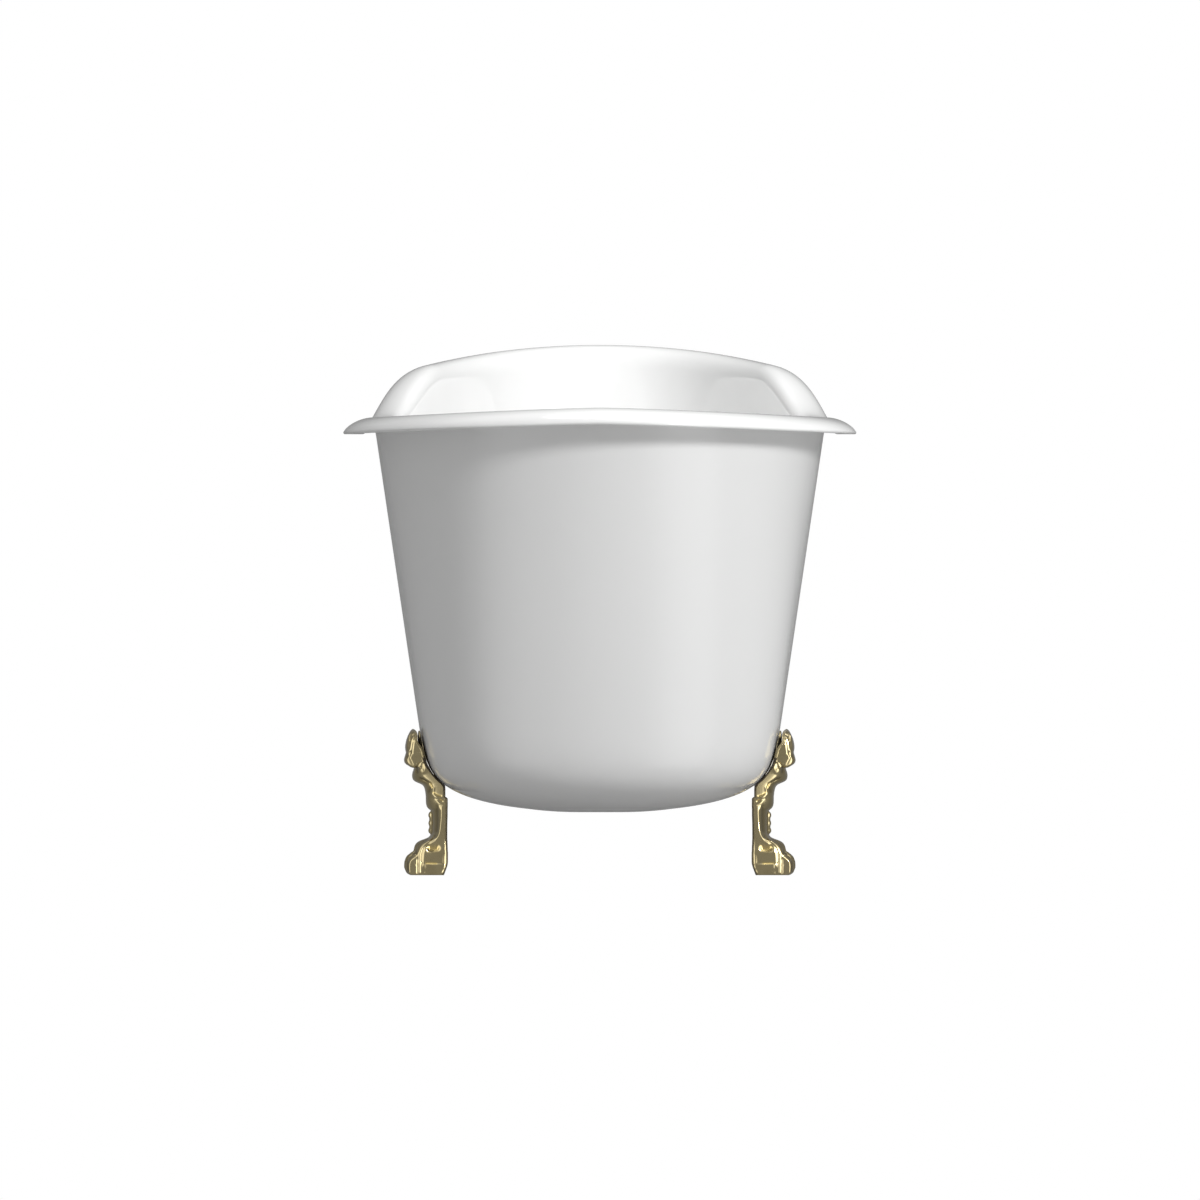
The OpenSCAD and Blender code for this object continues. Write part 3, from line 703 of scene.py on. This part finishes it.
# Grooves between the ribs: depth, half width, how much painted warm glow of bounced light they get, then
# places as out and up
FOOT_GROOVES = [
    (0.9, 0.8, 0, [(274.4, 209), (278.6, 207.2)]),
    (0.9, 1.2, 0, [(281, 183.5), (282.3, 176)]),
    (0.6, 1.2, 0, [(286, 181.5), (286.6, 176)]),
    (1.1, 0.9, 0, [(279.4, 211), (281, 206), (281.6, 200)]),
    (1.2, 0.8, 0, [(263, 167), (264.2, 163), (265.6, 158.5)]),
    (1.2, 2.2, 0, [(270, 166), (271.5, 160), (271.8, 153)]),
    (1.3, 2.2, 0, [(255.5, 137.5), (259.5, 139.8), (263.5, 142.3), (267, 143.4)]),
    (0.9, 1.5, 1, [(251.6, 136.5), (250.4, 133.5), (248.8, 130.5)]),
    (0.5, 1.2, 0.9, [(236, 117.6), (242, 119.6), (247, 123)]),
    (0.8, 1.3, 0.5, [(234, 110.5), (237.5, 112.2)]),
    (0.9, 2.0, 0, [(252.5, 129), (254, 124)]),
    (1.0, 2.6, 0, [(242.6, 102), (242.3, 90), (242.2, 75), (242.8, 66)]),
    (0.9, 0.9, 0, [(244.6, 59), (249, 53), (253.6, 49), (258, 45.2), (261.8, 41), (264.4, 35.6), (265.4, 29),
        (265.8, 20)]),
    (1.3, 0.9, 0, [(256, 53.6), (261, 51), (266, 48), (270, 44.3), (272.4, 40.3), (273, 35.5), (272.6, 31)]),
    (1.2, 0.9, 0, [(274.5, 32.3), (279.5, 30.2), (284, 26.6), (286.5, 22)]),
    (0.8, 1.1, 0, [(270.9, 22.4), (270.9, 15), (270.9, 3)]),
    (1.2, 1.2, 0, [(285, 22), (285.6, 14), (285, 5)]),
    (3.0, 4.2, 1, [(242.5, 40.4), (247.5, 39.6), (252, 40.4)]),
    (0.7, 3.6, 0, [(234, 8.2), (258, 8.2)]),
    (0.3, 1.5, 1, [(243, 17.6), (258, 18)]),
]
RIB_BLEND = 0.3
# Rounds of averaging that soften the whole relief
RELIEF_ROUNDS = 2
# Between these distances from the back edge, shares of the half width and heights the sides' relief sets in
RELIEF_BACK = (0.5, 3)
RELIEF_MIDDLE = (0.1, 0.5)
RELIEF_FLOOR = (0, 1.5)

# Grooves between the toes: places and width as shares of the half width, depth, top, height of their fading
TOE_PLACES = (0.0, 0.3, 0.6)
TOE_SPREAD = 0.07
TOE_GROOVE = 6.0
TOE_TOP = 50
TOE_FADE = 14
# Beads down the shin, and the strap that they stand on: heights, half widths, half height of a bead, how far
# they stand out, and the heights between which the strap sets in and ends
BEAD_PLACES = (89.3, 77.3, 66.3)
BEAD_POWER = 1.8
BEAD_HALF = 5.4
BEAD_TALL = 6.0
BEAD_OUT = 5.0
STRAP_HALF = 5.0
STRAP_OUT = 3.8
STRAP_FOOT = (62.5, 65)
STRAP_HEAD = (93, 95.5)
# Values that gain by steps, each smoothly between two heights: the reach of the rounded back edge, and the
# width and the darkness of the strip along it, which is partly the raw cast edge and partly painted shade in
# the gap beside the tub
EDGE_REACH = (5.2, (-2.0, 40, 100))
EDGE_DROP = 2.6
EDGE_POWER = 1.6
EDGE_HEAD = (185, 200)
STRIP_WIDTH = (2.4, (0.6, 40, 100), (1.2, 150, 164))
STRIP_DARK = (0.75, (0.2, 118, 130))
STRIP_SOFT = 1.2
STRIP_HEAD = (173, 177)
# Depth of a groove whose painted shade is full, height of a rib that clears the painted shade, painted shade
# between the toes
GROOVE_FULL_SHADE = 1.8
RIB_UNSHADED = 3.0
TOE_SHADE = 0.9
# Shares of the way and of its cube in the spacing of the points from the back edge to the front
ARC_SHARES = (0.72, 0.28)


def curved(places):
    """Smooth curve through places, cut into short lines: each piece is a cubic that leaves and reaches its
    ends along the line between their neighbours."""
    p = np.array(places, float)
    if len(p) < 3:
        return p
    p = np.concatenate([[2 * p[0] - p[1]], p, [2 * p[-1] - p[-2]]])
    t = np.linspace(0, 1, 5)[:-1, None]
    pieces = []
    for a, b, c, d in zip(p[:-3], p[1:-2], p[2:-1], p[3:]):
        square = a - 2.5 * b + 2 * c - d / 2
        cube = 1.5 * (b - c) + (d - a) / 2
        pieces.append(b + t * (c - a) / 2 + t ** 2 * square + t ** 3 * cube)
    return np.concatenate(pieces + [p[-2:-1]])


def chain_distance(p, out, up):
    """Distance from each place to a chain of straight lines, how far along the chain its nearest point lies,
    and on which side it is: 1 to the left of the way along the chain, -1 to its right, less near its ends."""
    near, along, side = np.full_like(out, 1e9), np.zeros_like(out), np.zeros_like(out)
    start = 0.0
    for a, b in zip(p[:-1, :2], p[1:, :2]):
        length = np.linalg.norm(b - a)
        d = (b - a) / length
        t = np.clip((out - a[0]) * d[0] + (up - a[1]) * d[1], 0, length)
        x = out - a[0] - t * d[0]
        y = up - a[1] - t * d[1]
        far = np.hypot(x, y)
        closer = far < near
        near = np.where(closer, far, near)
        along = np.where(closer, start + t, along)
        side = np.where(closer, (d[0] * y - d[1] * x) / np.maximum(far, 1e-6), side)
        start += length
    return near, along, side


def beside(p, out, up, reach):
    """Which places lie within reach of the box round a chain."""
    return ((out > p[:, 0].min() - reach) & (out < p[:, 0].max() + reach)
            & (up > p[:, 1].min() - reach) & (up < p[:, 1].max() + reach))


def side_relief(out, up):
    """Relief in millimetres on a foot's side. A rib has its height on its line and falls away straight on
    both sides, with a rounded top; where ribs meet, the higher one stands. A groove is a bell of the
    distance."""
    ribs = np.zeros_like(out)
    for inner, outer, roundness, places in FOOT_RIBS:
        p = curved(places)
        here = beside(p, out, up, 2 + p[:, 2].max() / min(inner, outer))
        near, along, side = chain_distance(p, out[here], up[here])
        ends = np.concatenate([[0], np.cumsum(np.hypot(np.diff(p[:, 0]), np.diff(p[:, 1])))])
        fall = mix(inner, outer, (side + 1) / 2) * (np.hypot(near, roundness) - roundness)
        rib = np.interp(along, ends, p[:, 2]) - fall
        ribs[here] = (ribs[here] + rib + np.hypot(ribs[here] - rib, RIB_BLEND)) / 2
    grooves = np.zeros_like(out)
    # Share of painted glow of bounced light that each groove gives
    bounce_glow = np.zeros_like(out)
    for depth, half, gold, places in FOOT_GROOVES:
        p = curved(places)
        here = beside(p, out, up, 3 * half)
        bell = np.exp(-(chain_distance(p, out[here], up[here])[0] / half) ** 2)
        grooves[here] = np.maximum(grooves[here], depth * bell)
        bounce_glow[here] = np.maximum(bounce_glow[here], gold * bell)
    return ribs, grooves, bounce_glow


def softened(field, rounds):
    """Field of the grid after rounds of averaging each point with its neighbours, up, down and across."""
    for _ in range(rounds):
        p = np.pad(field, 1, "edge")
        field = p[1:-1, 1:-1] * 0.5 + (p[:-2, 1:-1] + p[2:, 1:-1] + p[1:-1, :-2] + p[1:-1, 2:]) * 0.125
    return field


def closed_arcs(outer, inner):
    """Points and faces of a hollow loft: at each level an outer arc and an inner one, joined at their two
    ends, and the lowest and highest levels closed between the arcs. The inner arc has fewer points, spaced
    evenly under the outer ones."""
    levels, many = outer.shape[:2]
    few = inner.shape[1]
    share = (many - 1) // (few - 1)
    ring = np.concatenate([outer, inner[:, ::-1]], 1)
    count = many + few
    faces = grid_faces(levels, count, True)
    k = np.arange(many - 1)
    near = count - 1 - np.round((k + 1) / share).astype(int)
    far = count - 1 - np.round(k / share).astype(int)
    low = np.stack([k, k + 1, near, far], -1)
    high = low[:, ::-1] + (levels - 1) * count
    return ring, np.concatenate([faces, low, high])


def gained(z, value, *steps):
    """A value by height, which gains each step smoothly between the step's two heights."""
    for gain, low, high in steps:
        value = value + gain * smooth(low, high, z)
    return value


def toe_ripple(share):
    """Grooves between the toes: bells of the distance from their places across the foot."""
    ripple = np.zeros_like(share)
    for place in TOE_PLACES:
        ripple = np.maximum(ripple, np.exp(-((np.abs(share) - place) / TOE_SPREAD) ** 2))
    return ripple


def bead_relief(off, z):
    """The shin's beads and strap: the root of 1 less a power of the distance from the middle, and for a bead
    also less the square of the distance up or down from its place."""
    strap = STRAP_OUT * np.sqrt(np.maximum(0, 1 - (off / STRAP_HALF) ** BEAD_POWER))
    strap = strap * smooth(*STRAP_FOOT, z) * (1 - smooth(*STRAP_HEAD, z))
    beads = np.zeros_like(off)
    for place in BEAD_PLACES:
        beads = np.maximum(beads, 1 - (off / BEAD_HALF) ** BEAD_POWER - ((z - place) / BEAD_TALL) ** 2)
    return np.maximum(strap, BEAD_OUT * np.sqrt(np.maximum(0, beads)))


def foot_parts():
    """Casting of one foot at the right of the tub, around y = 0. Each level runs from one side over the front
    to the other. The side leans in evenly as far as the bend, and from there the width falls to the front by
    an even share and as the root of 1 less a power of the way. Grooves between the toes are cut back from the
    front, the back edge is rounded off, and the shin's beads and the sides' relief are added along the
    surface's normal. A second skin inside, set in by the wall, closes it into a shell that is open behind."""
    z = np.linspace(0, FOOT_OUTLINE[-1, 0], FOOT_LEVELS)
    front, back = profiles(z, FOOT_OUTLINE, OUTLINE_BLUR)
    half = profiles(z, FOOT_WIDTHS, WIDTH_BLUR)[0]
    bend, soft, power, lean, facet = profiles(z, FOOT_BENDS, BEND_BLUR)
    wall = outer_wall_x(FOOT_YS[0] + FOOT_WIDTHS[:, 1].max(), z)[:, None] + WALL_GAP
    z = z[:, None]
    back = np.where(z > WALL_FROM, np.maximum(back, wall), back)

    def arc(count, inset):
        """Places out from the tub's middle, and shares of the half width, at even steps across."""
        t = np.linspace(-1, 1, count)[None, :]
        way = 1 - np.abs(t)
        q = np.sin((ARC_SHARES[0] * way + ARC_SHARES[1] * way ** 3) * np.pi / 2)
        reach = np.maximum(front - back - inset, LEAST_DEPTH)
        x = back + reach * q
        past = x - bend
        end = back + reach - bend
        share = (past + np.hypot(past, soft)) / (end + np.hypot(end, soft))
        return x, np.sign(t) * (1 - facet * share) * np.sqrt(np.maximum(0, 1 - share ** power))

    x, v = arc(FOOT_ACROSS, 0)
    toes = np.clip((TOE_TOP - z) / TOE_FADE, 0, 1)
    ripple = toe_ripple(v)
    depth = x - back
    edge = EDGE_DROP * (1 - np.clip(depth / gained(z, *EDGE_REACH), 0, 1)) ** EDGE_POWER
    edge = edge * (1 - smooth(*EDGE_HEAD, z))
    outer = np.stack([
        x - TOE_GROOVE * toes * ripple, (half - lean * depth) * v - edge * np.sign(v), z + 0 * v], -1)
    normal = np.cross(np.gradient(outer, axis=1), np.gradient(outer, axis=0))
    normal /= np.maximum(np.linalg.norm(normal, axis=-1, keepdims=True), 1e-9)
    ribs, grooves, bounce_glow = side_relief(x, z + 0 * v)
    fade = smooth(*RELIEF_BACK, depth) * smooth(*RELIEF_MIDDLE, np.abs(v)) * smooth(*RELIEF_FLOOR, z)
    relief = (ribs - grooves) * fade + bead_relief(np.abs(half * v), z)
    outer = outer + normal * softened(relief, RELIEF_ROUNDS)[..., None]
    outer[..., 2] = np.clip(outer[..., 2], 0, None)
    x, w = arc(FOOT_ACROSS // INNER_SHARE + 1, FOOT_SKIN + TOE_GROOVE * toes)
    inner = np.stack([
        x, np.maximum(half - lean * (x - back) - FOOT_SKIN, LEAST_HALF) * w, z + 0 * w], -1)
    ring, faces = closed_arcs(outer, inner)
    # Painted shade: it deepens with a groove's depth and between the toes, clears on the ribs, and leaves out
    # the places of painted glow
    hollow = grooves / GROOVE_FULL_SHADE * fade * (1 - bounce_glow) + TOE_SHADE * toes * ripple
    hollow = hollow - ribs * fade / RIB_UNSHADED
    # Dark strip along the back edge, partly the raw cast edge and partly painted shade in the gap beside the
    # tub; the inner skin is near black, partly raw casting and partly painted shade
    wide = gained(z, *STRIP_WIDTH)
    strip = gained(z, *STRIP_DARK) * (1 - smooth(wide, wide + STRIP_SOFT, depth))
    strip = strip * (1 - smooth(*STRIP_HEAD, z))
    none = np.zeros(inner.shape[:2])
    masks = {
        "hollow": np.concatenate([np.clip(hollow, 0, 1), none], 1),
        "inside": np.concatenate([strip, none + 1], 1),
        "bounce_glow": np.concatenate([bounce_glow * fade, none], 1),
    }
    return ring, faces, masks


# Lug inside a foot: points round it, radius of its hole, reach out from the stud, squareness of its outline,
# its back edge and half of its width
LUG_AROUND = 96
LUG_HOLE = 4.5
LUG_REACH = 16.5
LUG_POWER = 0.6
LUG_BACK = 227.5
LUG_HALF = 28.0


def lug_part():
    """Plate across the hollow with a round hole: rings from the hole to a D-shaped edge, above and below."""
    a = np.linspace(0, 2 * np.pi, LUG_AROUND, endpoint=False)
    hole = np.stack([STUD_X + LUG_HOLE * np.cos(a), LUG_HOLE * np.sin(a)], -1)
    x = STUD_X + LUG_REACH * np.sign(np.cos(a)) * np.abs(np.cos(a)) ** LUG_POWER
    x = np.where(np.cos(a) < 0, np.maximum(x, LUG_BACK), x)
    edge = np.stack([x, LUG_HALF * np.sin(a)], -1)
    rings = np.array([
        np.concatenate([outline, np.full((len(a), 1), z)], -1) for outline, z in (
            (hole, LUG_BOTTOM), (hole, LUG_TOP), (edge, LUG_TOP), (edge, LUG_BOTTOM), (hole, LUG_BOTTOM))])
    # The lug is near black all over: partly raw casting, partly painted shade inside the foot
    return rings, grid_faces(len(rings), len(a), True), np.ones(rings.shape[:2])


# Sections of the tongue behind a leaf: height, its face towards the tub, its other face, half of its width
TONGUE_SECTIONS = np.array([
    (148, 251.5, 257, 42), (158, 255, 260.5, 40), (165, 256.4, 262, 36), (172, 258.1, 263, 26),
    (178, 259.9, 264.5, 20), (184.5, 261.6, 266.5, 19), (192.7, 263.3, 269.5, 19),
    (203.2, 265.1, 270.5, 19), (208, 265.9, 270.3, 16), (212, 266.7, 270, 11), (214.3, 267.4, 269.4, 5),
    (214.8, 267.8, 269, 2),
], float)
TONGUE_LEVELS = 90
TONGUE_ACROSS = 13
# How much thinner it is at its sides, how dark its painted shade is, and the heights between which the
# painted shade ends
TONGUE_BOW = 0.35
TONGUE_SHADE = 0.8
TONGUE_SHADE_END = (203.0, 207.0)


def tongue_part():
    """Upright tongue that lies along the tub and joins the leaf: at each height a section between its two
    faces, as wide as its sections say, flat behind and thinner to its sides by a fourth power. Below its top
    it is a dark sheet of painted shade in the gap between the leaf and the tub."""
    z = np.linspace(TONGUE_SECTIONS[0, 0], TONGUE_SECTIONS[-1, 0], TONGUE_LEVELS)
    near, far, wide = profiles(z, TONGUE_SECTIONS, OUTLINE_BLUR)
    z = z[:, None]
    y = np.linspace(-1, 1, TONGUE_ACROSS)[None, :]
    bow = (far - near) * (1 - TONGUE_BOW * y ** 4)
    front = np.stack([near + bow, wide * y, z + 0 * y], -1)
    rear = np.stack([near + 0 * y, wide * y, z + 0 * y], -1)
    ring, faces = closed_arcs(front, rear)
    return ring, faces, TONGUE_SHADE * (1 - smooth(*TONGUE_SHADE_END, ring[..., 2]))


def feet():
    """The four feet, each one of the casting, its lug and its tongue, turned half round at the left. The
    masks say where the brass has painted shade, brown or near black, and a painted warm glow of bounced
    light; the near black is partly raw casting."""
    casting, casting_faces, masks = foot_parts()
    pieces = [(casting.reshape(-1, 3), casting_faces)]
    # The tongue's dark is painted shade; the lug's near black is partly raw casting and partly painted shade
    for points, faces, dark in (lug_part(), tongue_part()):
        pieces.append((points.reshape(-1, 3), faces))
        for key, values in (("hollow", 0 * dark), ("inside", dark), ("bounce_glow", 0 * dark)):
            masks[key] = np.append(masks[key], values)
    for pair, foot_y in zip(("front", "rear"), FOOT_YS):
        for side, turn in (("right", 1), ("left", -1)):
            name = f"foot_{pair}_{side}"
            parts = [(points * (turn, turn, 1) + (0, foot_y, 0), faces) for points, faces in pieces]
            make_piece(name + "_brass", parts, BRASS, name, masks)


feet()

for name in ("foot_studs", "foot_washers", "foot_nuts"):
    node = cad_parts[name]
    node.data.materials.clear()
    node.data.materials.append(ZINC)


# Reflector: radius in metres, upper edge in radians above level, brightness before and behind the tub, and
# the angles from the camera's side between which the one passes into the other
BOWL_RADIUS = 7.0
BOWL_EDGE = 1.15
BOWL_FRONT = 0.33
BOWL_BACK = 0.22
BOWL_TURN = (1.2, 2.4)
# Height, as a share of the radius, from which it brightens to 1 at its edge
BOWL_GLOW = 0.7
BOWL_STRENGTH = 4.0
# Soft boxes of the bowl: nearest and farthest angle from the camera's side in radians, lower and upper height
# as shares of the radius, strength, which is negative on the left
BOWL_BOXES = ((0.5, 1.05, -0.6, 0.8, 3.0), (0.5, 1.05, -0.6, 0.8, -1.4))
# Softness of a box's nearest and farthest edge in radians, and of its lower and upper one
BOX_NEAR = 0.22
BOX_FAR = 0.15
BOX_LEVEL = 0.1

WORLD_LEVEL = 0.41
FLOOR_SIZE = 30
FLOOR_SEEN = (0.85, 0.85, 0.85)
FLOOR_BOUNCE = (0.43, 0.43, 0.43)
# Name, place, aim, size in metres and power in watts
LAMPS = (
    ("key_lamp", (2.75, -3.8, 2.65), (0.0, 0.0, 0.4), 1.0, 110.0),
    ("top_lamp", (0.5, 0.0, 3.4), (0.2, 0.1, 0.4), 2.4, 58.0),
)


def lamp(name, place, aim, size, power):
    """Round area lamp that looks from its place to its aim."""
    light = bpy.data.lights.new(name, "AREA")
    light.shape = "DISK"
    light.size = size
    light.energy = power
    made = placed(name, light)
    made.location = place
    way = np.array(aim) - np.array(place)
    made.rotation_euler = (
        float(np.arccos(-way[2] / np.linalg.norm(way))), 0, float(np.arctan2(way[1], way[0]) - np.pi / 2))


def reflector():
    """Bowl round the studio that shows only in reflections and is open above. It is dimmer behind the tub
    than before it, brightens to its edge, and has a soft box on either side of the camera, from far below
    the horizon up, because the sides of the feet face slightly down."""
    u = np.linspace(0, 2 * np.pi, 96, endpoint=False)
    rise = np.linspace(-np.pi / 2 + 0.01, BOWL_EDGE, 40)
    points = BOWL_RADIUS * np.stack([
        np.cos(u)[None, :] * np.cos(rise)[:, None], np.sin(u)[None, :] * np.cos(rise)[:, None],
        np.sin(rise)[:, None] + 0 * u[None, :]], -1).reshape(-1, 3)
    mesh = bpy.data.meshes.new("studio_reflector")
    mesh.from_pydata(points.tolist(), [], grid_faces(len(rise), len(u), True).tolist())
    f = Finish("studio_reflector", (0, 0, 0), 1.0)
    place = f.node("ShaderNodeSeparateXYZ", {}, {"Vector": f.place})
    height = Maths(f, place.outputs["Z"]) / BOWL_RADIUS
    turn = f.maths("ARCTAN2", place.outputs["X"], 0 - Maths(f, place.outputs["Y"]))
    level = BOWL_FRONT + f.band(f.maths("ABSOLUTE", turn), *BOWL_TURN) * (BOWL_BACK - BOWL_FRONT)
    level = level + f.band(height, BOWL_GLOW, float(np.sin(BOWL_EDGE))) * (1 - level)
    for near, far, low, high, strength in BOWL_BOXES:
        side = turn * float(np.sign(strength))
        box = f.band(side, near - BOX_NEAR, near + BOX_NEAR)
        box = box * (1 - f.band(side, far - BOX_FAR, far + BOX_FAR))
        box = box * f.band(height, low - BOX_LEVEL, low + BOX_LEVEL)
        box = box * (1 - f.band(height, high - BOX_LEVEL, high + BOX_LEVEL))
        level = level + box * abs(strength)
    f.set("Emission Color", f.colours(level / BOWL_STRENGTH, (0, 0, 0), (1, 1, 1)))
    f.shader.inputs["Emission Strength"].default_value = BOWL_STRENGTH
    mesh.materials.append(f.material)
    bowl = placed("studio_reflector", mesh)
    bowl.visible_camera = False
    bowl.visible_diffuse = False
    bowl.visible_shadow = False


def studio():
    """Pale floor, which throws back less light than it shows, the reflector, the lamps, and an even world
    that is white to the camera."""
    bpy.ops.mesh.primitive_plane_add(size=FLOOR_SIZE)
    floor = bpy.context.object
    floor.name = "studio_floor"
    f = Finish("studio_floor", FLOOR_SEEN, 0.6)
    f.set("Base Color", f.colours(f.seen(), FLOOR_BOUNCE, FLOOR_SEEN))
    floor.data.materials.append(f.material)
    floor.visible_glossy = False
    reflector()
    for values in LAMPS:
        lamp(*values)
    world = bpy.data.worlds.new("studio_world")
    bpy.context.scene.world = world
    world.use_nodes = True
    sky = Nodes(world.node_tree)
    background = sky.tree.nodes["Background"].inputs
    background["Color"].default_value = (1, 1, 1, 1)
    sky.feed(background["Strength"], WORLD_LEVEL + sky.seen() * (1 - WORLD_LEVEL))


studio()

# The photo: its side in pixels, millimetres in a pixel, column of the tub's middle and row of the floor
PHOTO_SIDE = 1200
PIXEL = 1.4854
MIDDLE_COLUMN = 599.8
FLOOR_ROW = 875.2
CAMERA_Y = -6.0

camera_data = bpy.data.cameras.new("camera")
camera_data.type = "ORTHO"
camera_data.ortho_scale = PHOTO_SIDE * PIXEL * MM
camera_data.clip_end = 50
camera = placed("camera", camera_data)
camera.location = (
    (PHOTO_SIDE / 2 - MIDDLE_COLUMN) * PIXEL * MM, CAMERA_Y, (FLOOR_ROW - PHOTO_SIDE / 2) * PIXEL * MM)
camera.rotation_euler = (np.pi / 2, 0, 0)
bpy.context.scene.camera = camera
bpy.context.scene.view_settings.view_transform = "Standard"
